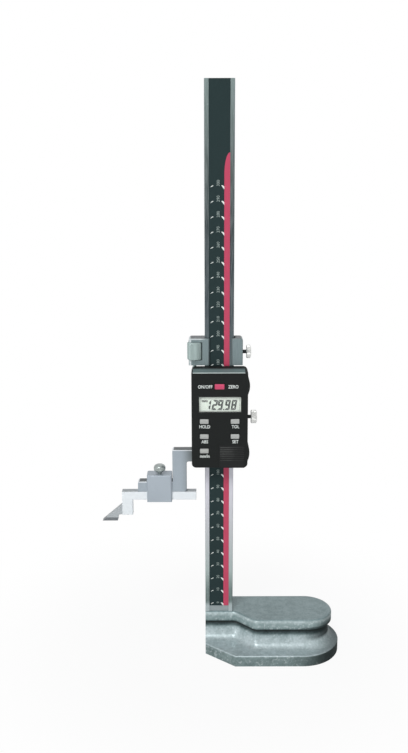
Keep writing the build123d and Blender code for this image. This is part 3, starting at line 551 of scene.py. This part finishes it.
# ---------------------------------------------------------------- slider, arm and fine-adjust block
# Steel, milled and finished in a satin chrome with a faint bluish cast. The arm is one piece with
# the slider. The fine-adjust block rides above it, and a threaded rod joins the two.
chrome = Finish("satin_chrome", Metallic=0.4)
chrome_grain = chrome.noise(900.0, 3.0)
chrome_drift = chrome.noise(25.0, 1.0)
chrome_dark, chrome_light = colour(150, 160, 168), colour(172, 182, 191)
chrome.feed("Base Color", chrome.blend(chrome_drift.smooth(0.3, 0.7), chrome_dark, chrome_light))
chrome.feed("Roughness", 0.36 + 0.12 * chrome_grain)
chrome.bump(chrome_grain, 0.18, 0.015)
dress(chrome, "slider_back_plate", "scriber_clamp")

# the arm's upper faces are painted dark, a painted reflection, with a painted highlight as a bright
# line where their edge is broken
arm_steel = Finish("arm_steel", Metallic=0.4)
arm_grain = arm_steel.noise(900.0, 3.0)
arm_along = arm_steel.axis("X")
arm_height = arm_steel.axis("Z")
arm_tone = arm_steel.blend(arm_grain, colour(156, 167, 175), colour(170, 180, 189))
# painted shade on the arm towards the housing
housing_shade = arm_along.past(-28.0, -18.0)
arm_tone = arm_steel.blend(0.75 * housing_shade, arm_tone, colour(96, 102, 101))
arm_top, nose_top, arm_side = 156.0, 132.55, -33.05
left_of_arm = 1.0 - arm_along.past(arm_side - 0.1, arm_side)
for top, where in ((arm_top, 1.0), (nose_top, left_of_arm)):
    broken_edge_highlight = arm_height.between(top - 0.8, top - 0.6, top - 0.15, top - 0.1)
    arm_tone = arm_steel.blend(0.7 * broken_edge_highlight * where, arm_tone, colour(238, 242, 245))
    upper_face_reflection = arm_height.between(top - 0.12, top - 0.02, top + 0.05, top + 0.1)
    arm_tone = arm_steel.blend(upper_face_reflection * where, arm_tone, colour(84, 90, 92))
arm_steel.feed("Base Color", arm_tone)
arm_steel.feed("Roughness", 0.36 + 0.12 * arm_grain)
arm_steel.bump(arm_grain, 0.12, 0.01)
dress(arm_steel, "slider_frame")

# the chrome painted darker here, a painted reflection: the block shows a darker reflection than the
# slider
block_steel = Finish("block_steel", Metallic=0.4)
block_lines = block_steel.noise(70.0, 3.0, block_steel.stretched(40, 40, 2))
block_tone = block_steel.blend(block_lines, colour(110, 126, 129), colour(134, 149, 151))
low, high = corners(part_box("fine_block"))
block_along = block_steel.axis("X")
block_height = block_steel.axis("Z")
# painted highlights: a bright strip along the left edge and a line under the top edge
left_strip = block_along.between(low[0] + 0.4, low[0] + 0.7, low[0] + 1.5, low[0] + 1.9)
upper_line = block_height.past(high[2] - 1.1, high[2] - 0.8) * (1.0 - block_along.past(-14.0, -8.0))
block_highlight = left_strip.larger(upper_line)
block_tone = block_steel.blend(0.6 * block_highlight, block_tone, colour(236, 242, 244))
# the top face is painted dark, a painted reflection
block_top_reflection = block_height.past(high[2] - 0.1, high[2] - 0.03)
block_steel.feed("Base Color", block_steel.blend(block_top_reflection, block_tone, colour(72, 78, 82)))
block_steel.feed("Roughness", 0.34 + 0.14 * block_lines)
block_steel.bump(block_lines, 0.2, 0.015)
dress(block_steel, "fine_block")


# ---------------------------------------------------------------- clamp screws, nut and fasteners
# Bright nickel-plated thumb screws with straight knurls, the satin nut of the fine adjustment and
# the small screws that hold slider, housing and column together.
nickel = Finish("bright_nickel", Metallic=1.0)
nickel_wear = nickel.noise(300.0, 2.0)
nickel.grained(nickel_wear, (205, 205, 203), (238, 238, 236), 0.16, 0.14)
dress(nickel, "back_plate_screws", "housing_screws")

nut_steel = Finish("nut_steel", Metallic=0.4, Specular_IOR_Level=0.3)
nut_lines = nut_steel.noise(80.0, 2.0, nut_steel.stretched(30, 30, 1))
nut_steel.grained(nut_lines, (150, 166, 164), (168, 184, 182), 0.38, 0.14)
dress(nut_steel, "fine_screw", "column_dowel")


def turned(name, node, body, finish, profile, origin, axis, ridges, depth):
    """A piece turned round an axis, in millimetres, that stands for a CAD node.

    The surface has two parameters, the angle round the axis and the place along a profile of
    (along, radius, share) rows. The radius at an angle is the row's radius less its share of a
    zigzag that grows from 0 to depth and back once for every knurl ridge. Both ends close on
    the axis."""
    steps = 4 * ridges
    angle = 2 * pi * np.arange(steps) / steps
    zigzag = np.abs((angle * ridges / (2 * pi) + 0.5) % 1 - 0.5) * 2
    along, radius, share = np.array(profile, float).T
    reach = radius[:, None] - share[:, None] * depth * zigzag[None, :]
    axis = np.array(axis, float)
    side = np.array((0.0, 1.0, 0.0))  # square to both axes in use, X and Z
    other = np.cross(axis, side)
    round_axis = np.cos(angle)[:, None] * side + np.sin(angle)[:, None] * other
    grid = np.array(origin, float) + along[:, None, None] * axis + reach[..., None] * round_axis
    points = grid.reshape(-1, 3).tolist()
    rows = len(profile)
    turn = np.arange(steps)
    after = (turn + 1) % steps
    faces = []
    for row in range(rows - 1):
        low, high = row * steps, (row + 1) * steps
        faces += np.column_stack([low + turn, low + after, high + after, high + turn]).tolist()
    for row, first, second in ((0, after, turn), (rows - 1, turn, after)):
        points.append((np.array(origin, float) + along[row] * axis).tolist())
        hub = np.full(steps, len(points) - 1)
        faces += np.column_stack([row * steps + first, row * steps + second, hub]).tolist()
    piece = add_mesh(name, points, faces, finish, body)
    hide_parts(node)


def knurled_band(start, end, radius, edge, depth):
    """Profile rows of a knurled band between two heights, with a chamfer at both ends."""
    return [
        (start, radius - edge - depth, 0),
        (start + edge, radius, 1),
        (end - edge, radius, 1),
        (end, radius - edge - depth, 0),
    ]


screw_ridges = 30
screw_knurl = 0.35
head_edge = 0.35
head_cap_rise = 0.25
head_cap_step = 0.2
head_cap_edge = 0.3
thread = 1.3
thread_chamfer = 0.3
clamp_heads = (("main_clamp_screw", "slider_lock", 4.1), ("fine_clamp_screw", "fine_lock", 3.0))
for node, body, head_height in clamp_heads:
    low, high = corners(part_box(node))
    head_radius = (high[2] - low[2]) / 2
    head_end = high[0] - low[0] - head_cap_rise
    head_start = head_end - head_height
    cap = head_radius - screw_knurl - head_edge
    clamp_steel = Finish("clamp_steel_" + body, Metallic=0.9)
    along = clamp_steel.axis("X")
    wear = clamp_steel.noise(300.0, 2.0)
    plated = clamp_steel.blend(wear, colour(192, 194, 192), colour(232, 232, 230))
    on_head = along.past(low[0] + head_start - 0.1, low[0] + head_start)
    clamp_steel.feed("Base Color", clamp_steel.blend(on_head, colour(38, 42, 42), plated))
    clamp_steel.feed("Roughness", 0.2 + 0.16 * wear)
    profile = [(0, thread - thread_chamfer, 0), (thread_chamfer, thread, 0), (head_start, thread, 0)]
    profile += knurled_band(head_start, head_end, head_radius, head_edge, screw_knurl)
    cap -= head_cap_step
    profile += [(head_end, cap, 0), (head_end + head_cap_rise, cap - head_cap_edge, 0)]
    turned(
        node + "_turned",
        node,
        body,
        clamp_steel,
        profile,
        (low[0], (low[1] + high[1]) / 2, (low[2] + high[2]) / 2),
        (1, 0, 0),
        screw_ridges,
        screw_knurl,
    )

nut_ridges = 60
nut_knurl = 0.12
nut_edge = 0.7
nut_bore = 1.05
low, high = corners(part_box("fine_nut"))
nut_height, nut_radius = high[2] - low[2], (high[0] - low[0]) / 2
profile = [(0, nut_bore, 0)]
profile += knurled_band(0, nut_height, nut_radius, nut_edge, 0)
profile += [(nut_height, nut_bore, 0)]
turned(
    "fine_nut_turned",
    "fine_nut",
    "fine_wheel",
    nut_steel,
    profile,
    ((low[0] + high[0]) / 2, (low[1] + high[1]) / 2, low[2]),
    (0, 0, 1),
    nut_ridges,
    nut_knurl,
)

knob_steel = Finish("knob_steel", Metallic=0.7)
knob_wear = knob_steel.noise(400.0, 2.0)
knob_steel.grained(knob_wear, (140, 148, 146), (172, 180, 178), 0.22, 0.14)
low, high = corners(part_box("scriber_clamp_screw"))
knob_height = 5.9
knob_radius = (high[0] - low[0]) / 2
knob_start = high[2] - low[2] - knob_height
# a flattened ball: height and radius follow a superellipse, and the knurl is deepest at its waist
knob_power = 2.5
knob_rows = 27
knob_thread = 1.5
knob_neck = 1.6  # the ball's rows start where they are wider than this
waist_cut = 0.6  # share of the knurl's depth at the waist
waist_reach = 1 / 3  # share of the ball's half height that the knurl covers
swell = np.linspace(-1, 1, knob_rows)[1:-1]
ball = (1 - np.abs(swell) ** knob_power) ** (1 / knob_power)
profile = [(0, knob_thread - thread_chamfer, 0), (thread_chamfer, knob_thread, 0)]
profile += [(knob_start, knob_thread, 0)]
for share, reach in zip(swell.tolist(), ball.tolist()):
    if reach * knob_radius > knob_neck:
        cut = waist_cut * max(0.0, 1 - (share / waist_reach) ** 2)
        profile.append((knob_start + knob_height * (1 + share) / 2, knob_radius * reach, cut))
turned(
    "scriber_clamp_knob",
    "scriber_clamp_screw",
    "scriber_lock",
    knob_steel,
    profile,
    ((low[0] + high[0]) / 2, (low[1] + high[1]) / 2, low[2]),
    (0, 0, 1),
    screw_ridges,
    screw_knurl,
)

# the screws of column and gib are blackened steel; gib, shoe and cell contact are bronze
black_oxide = Finish("black_oxide", Metallic=0.6)
oxide_grain = black_oxide.noise(700.0)
black_oxide.grained(oxide_grain, (28, 28, 30), (48, 48, 50), 0.4, 0.15)
dress(black_oxide, "column_screws", "gib_screws")

bronze = Finish("bronze", Metallic=0.9)
bronze_grain = bronze.noise(500.0)
bronze.grained(bronze_grain, (150, 116, 62), (190, 150, 88), 0.3, 0.2)
dress(bronze, "gib", "fine_shoe", "battery_contact")


# ---------------------------------------------------------------- scriber and its tip
# A ground steel bar, bent down to a wedge. A slip of carbide is brazed under the wedge and ground
# to the scribing edge.
scriber_steel = Finish("scriber_steel", Metallic=0.1, Specular_IOR_Level=0.15)
ground = scriber_steel.noise(90.0, 2.0, scriber_steel.stretched(1.5, 30, 30))
lapped = scriber_steel.blend(ground, colour(234, 240, 244), colour(241, 246, 249))
reflection_grey = scriber_steel.blend(ground, colour(174, 180, 183), colour(186, 191, 194))
# painted reflection: the top face and the wedge are painted grey in place of the bar's near-white
scriber_top = corners(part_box("scriber"))[1][2]
wedge_start = -69.25  # the wedge lies left of this
on_wedge = 1.0 - scriber_steel.axis("X").past(wedge_start - 0.05, wedge_start)
on_top = scriber_steel.axis("Z").past(scriber_top - 0.06, scriber_top - 0.02)
grey_reflection_faces = on_wedge.larger(on_top)
scriber_steel.feed("Base Color", scriber_steel.blend(grey_reflection_faces, lapped, reflection_grey))
scriber_steel.feed("Roughness", 0.3 + 0.12 * ground)
scriber_steel.bump(ground, 0.06, 0.01)
dress(scriber_steel, "scriber")

carbide = Finish("carbide", Metallic=0.8)
carbide_grain = carbide.noise(900.0)
carbide.grained(carbide_grain, (104, 108, 112), (128, 132, 136), 0.32, 0.12)
dress(carbide, "scriber_tip")


# ---------------------------------------------------------------- display housing and cover
# Injection-moulded black plastic with a fine spark texture, held to the slider by four screws.
# The ribbed battery cover slides down off the cell.
plastic = Finish("black_plastic", Metallic=0.0, Specular_IOR_Level=0.12)
spark = plastic.noise(2200.0, 2.0)
moulded = plastic.blend(spark, colour(22, 24, 24), colour(34, 37, 36))
plastic.feed("Roughness", 0.42 + 0.12 * spark)
plastic.bump(spark, 0.25, 0.02)
housing_height = plastic.axis("Z")
slope_foot = 214.0  # the sloped top starts here; it carries a painted reflection, and its front edge a painted highlight
slope_left, slope_right = -18.3, 17.6
on_slope_width = plastic.axis("X").between(
    slope_left, slope_left + 0.4, slope_right - 0.6, slope_right
)
slope = housing_height.between(slope_foot - 0.1, slope_foot, slope_foot + 1.0, slope_foot + 1.7)
front_edge_highlight = housing_height.between(
    slope_foot - 0.35, slope_foot - 0.2, slope_foot + 0.05, slope_foot + 0.15
)
# painted reflection on the sloped top, and a painted highlight along its front edge
slope_tone = plastic.noise(90.0, 2.0, plastic.stretched(1, 20, 20))
slope_reflection = plastic.blend(slope_tone, colour(92, 110, 110), colour(134, 152, 152))
slope_painted = plastic.blend(slope * on_slope_width, moulded, slope_reflection)
plastic.feed("Base Color", plastic.blend(front_edge_highlight * on_slope_width, slope_painted, colour(214, 226, 224)))
dress(plastic, "display_housing", "board_connector")

cover_front = corners(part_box("battery_cover"))[0][1]
rib_rise = 0.35
ribbed_cover = Finish("ribbed_cover_highlit", Metallic=0.0, Specular_IOR_Level=0.2)
cover_spark = ribbed_cover.noise(2200.0, 2.0)
# painted highlight in patches on the rib crests
on_ribs = 1.0 - ribbed_cover.axis("Y").past(cover_front + 0.5 * rib_rise, cover_front + 0.9 * rib_rise)
rib_highlight_patches = ribbed_cover.noise(90.0, 1.0).smooth(0.35, 0.65)
rib_highlight = 0.04 * on_ribs + 0.3 * on_ribs * cover_spark * rib_highlight_patches
ribbed_cover.feed("Base Color", ribbed_cover.blend(rib_highlight, colour(26, 28, 28), colour(150, 152, 150)))
ribbed_cover.feed("Roughness", 0.4 + 0.1 * cover_spark)
dress(ribbed_cover, "battery_cover")


# ---------------------------------------------------------------- display
# A reflective liquid crystal behind a clear window. The figures are its dark segments, slanted a
# little, with the unit before them.
crystal = Finish("liquid_crystal", Metallic=0.0, Coat_Weight=0.2)
crystal_drift = crystal.noise(60.0)
crystal.grained(crystal_drift, (238, 249, 236), (245, 253, 243), 0.35, 0.1)
dress(crystal, "lcd_panel")

glass = Finish("window_glass", Metallic=0.0, Alpha=0.06, Specular_IOR_Level=0.2)
smear = glass.noise(120.0)
glass.grained(smear, (244, 250, 246), (252, 255, 253), 0.03, 0.04)
dress(glass, "lcd_window")

segment_ink = Finish("segment_ink", Metallic=0.0)
ink_grain = segment_ink.noise(1500.0)
segment_ink.grained(ink_grain, (22, 34, 28), (30, 42, 36), 0.4, 0.1)

panel_front = corners(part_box("lcd_panel"))[0][1]
tall, wide = 7.0, 3.5  # a digit's height and width
stroke = 1.25
gap = 0.1  # between neighbouring segments, measured along each
digit_slant = radians(9)
lit_segments = {"1": "bc", "2": "abged", "9": "abcdfg", "8": "abcdefg"}
waist = tall / 2
inner_high = tall - stroke - gap
# each segment is a flat shape with mitred ends, given by its corners in the digit's own box
segment_shapes = {
    "a": [
        (gap, tall),
        (stroke + gap, tall - stroke),
        (wide - stroke - gap, tall - stroke),
        (wide - gap, tall),
    ],
    "b": [
        (wide, tall - gap),
        (wide - stroke, inner_high),
        (wide - stroke, waist + stroke / 2 + gap),
        (wide - gap, waist + gap),
        (wide, waist + gap),
    ],
    "g": [
        (gap, waist),
        (stroke / 2 + gap, waist - stroke / 2),
        (wide - stroke / 2 - gap, waist - stroke / 2),
        (wide - gap, waist),
        (wide - stroke / 2 - gap, waist + stroke / 2),
        (stroke / 2 + gap, waist + stroke / 2),
    ],
}


def flipped(shape, across, upside):
    """A segment's corners mirrored across the digit's middle, upside down, or both; the order
    of the corners is turned back where one mirror has reversed it."""
    shape = np.array(shape, float)
    if across:
        shape[:, 0] = wide - shape[:, 0]
    if upside:
        shape[:, 1] = tall - shape[:, 1]
    return shape[::-1] if across != upside else shape


segment_shapes["c"] = flipped(segment_shapes["b"], False, True)
segment_shapes["d"] = flipped(segment_shapes["a"], False, True)
segment_shapes["e"] = flipped(segment_shapes["b"], True, True)
segment_shapes["f"] = flipped(segment_shapes["b"], True, False)


def segment(key, origin_x, origin_z):
    """A segment leaned over by the slant and moved to its digit's place."""
    shape = np.array(segment_shapes[key], float)
    shape[:, 0] += shape[:, 1] * tan(digit_slant) + origin_x
    shape[:, 1] += origin_z
    return shape


reading = [("1", -10.05), ("2", -5.5), ("9", -1.75), ("9", 3.2), ("8", 7.5)]
digits_foot = 187.7
shapes = [segment(key, x, digits_foot) for digit, x in reading for key in lit_segments[digit]]
point_x = 2.35
point = np.array([(0, 0), (0.8, 0), (0.9, 0.8), (0.1, 0.8)]) + (point_x, digits_foot)
shapes.append(point)
points, faces = printed_shapes(shapes, panel_front, print_thick)
add_mesh("lcd_digits", points, faces, segment_ink, "slider")
unit_x, unit_foot = -10.1, 193.3
unit_height = 1.9
lettering(
    "lcd_unit",
    [("mm", unit_x, unit_foot)],
    unit_height,
    segment_ink,
    "slider",
    panel_front,
    print_thick,
    bold=0.05,
)

frame_left, frame_right, frame_low, frame_high = -12.8, 13.7, 187.0, 196.4
frame_line = 0.12
frame_bars = [
    (frame_left, frame_right, frame_high - frame_line, frame_high),
    (frame_left, frame_right, frame_low, frame_low + frame_line),
    (frame_left, frame_left + frame_line, frame_low, frame_high),
    (frame_right - frame_line, frame_right, frame_low, frame_high),
]
bars = [[(x, z), (right_x, z), (right_x, top_z), (x, top_z)] for x, right_x, z, top_z in frame_bars]
points, faces = printed_shapes(bars, panel_front, print_thick / 2)
add_mesh("lcd_frame_line", points, faces, segment_ink, "slider")


# ---------------------------------------------------------------- keys and legends
# Five grey keys and a red one, moulded in plastic, each in front of a rubber dome. The legends are
# printed in white on the housing.
key_grey = Finish("key_grey", Metallic=0.0)
key_grain = key_grey.noise(1600.0)
key_grey.grained(key_grain, (164, 166, 163), (190, 192, 189), 0.42, 0.12)
dress(
    key_grey,
    "hold_button",
    "tolerance_button",
    "absolute_button",
    "set_button",
    "unit_button",
)

key_red = Finish("key_red", Metallic=0.0, Coat_Weight=0.2)
key_red_grain = key_red.noise(1600.0)
key_red.grained(key_red_grain, (200, 58, 98), (216, 74, 114), 0.34, 0.12)
dress(key_red, "power_button")

housing_front = corners(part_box("display_housing"))[0][1]
legend_height = 2.35
legend_shift = 0.35  # the words are printed a little right of their keys
legend_drop = 0.9  # from the key's lower edge to the top of its legend's capitals
key_flange = 0.8  # each key has a flange behind the housing, which its box holds too


def key_middle(node):
    """The middle of a key in X, and its lowest and highest Z on its cap, in millimetres."""
    low, high = corners(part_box(node))
    return (low[0] + high[0]) / 2, low[2] + key_flange, high[2] - key_flange


legends = []
for node, word in (
    ("hold_button", "HOLD"),
    ("tolerance_button", "TOL"),
    ("absolute_button", "ABS"),
    ("set_button", "SET"),
    ("unit_button", "mm/in"),
):
    x, low, high = key_middle(node)
    legends.append((word, x + legend_shift, low - legend_drop - legend_height))
x, low, high = key_middle("power_button")
for word, beside in (("ON/OFF", -9.7), ("ZERO", 9.3)):
    legends.append((word, x + beside, (low + high - legend_height) / 2))
lettering(
    "housing_legends",
    legends,
    legend_height,
    white_print,
    "slider",
    housing_front,
    print_thick,
    bold=0.012,
    narrow=0.84,
)


# ---------------------------------------------------------------- electronics and battery
# Inside the housing: the main board and the pickup board in green resist, rubber domes and
# connector strips, and the button cell in its nickel-plated can.
resist = Finish("solder_resist", Metallic=0.0)
tracks = resist.noise(400.0, 0.0)
track_edges = tracks.smooth(0.48, 0.52)
resist.feed("Base Color", resist.blend(track_edges, colour(14, 86, 44), colour(24, 112, 58)))
resist.feed("Roughness", 0.3 + 0.1 * tracks)
dress(resist, "circuit_board", "pickup_board")

rubber = Finish("dome_rubber", Metallic=0.0)
rubber_grain = rubber.noise(800.0)
rubber.grained(rubber_grain, (70, 70, 72), (96, 96, 98), 0.7, 0.1)
dress(rubber, "rubber_domes", "lcd_connectors")

can = Finish("cell_can", Metallic=1.0)
can_grain = can.noise(400.0)
can.grained(can_grain, (186, 188, 190), (214, 216, 218), 0.2, 0.12)
dress(can, "battery")
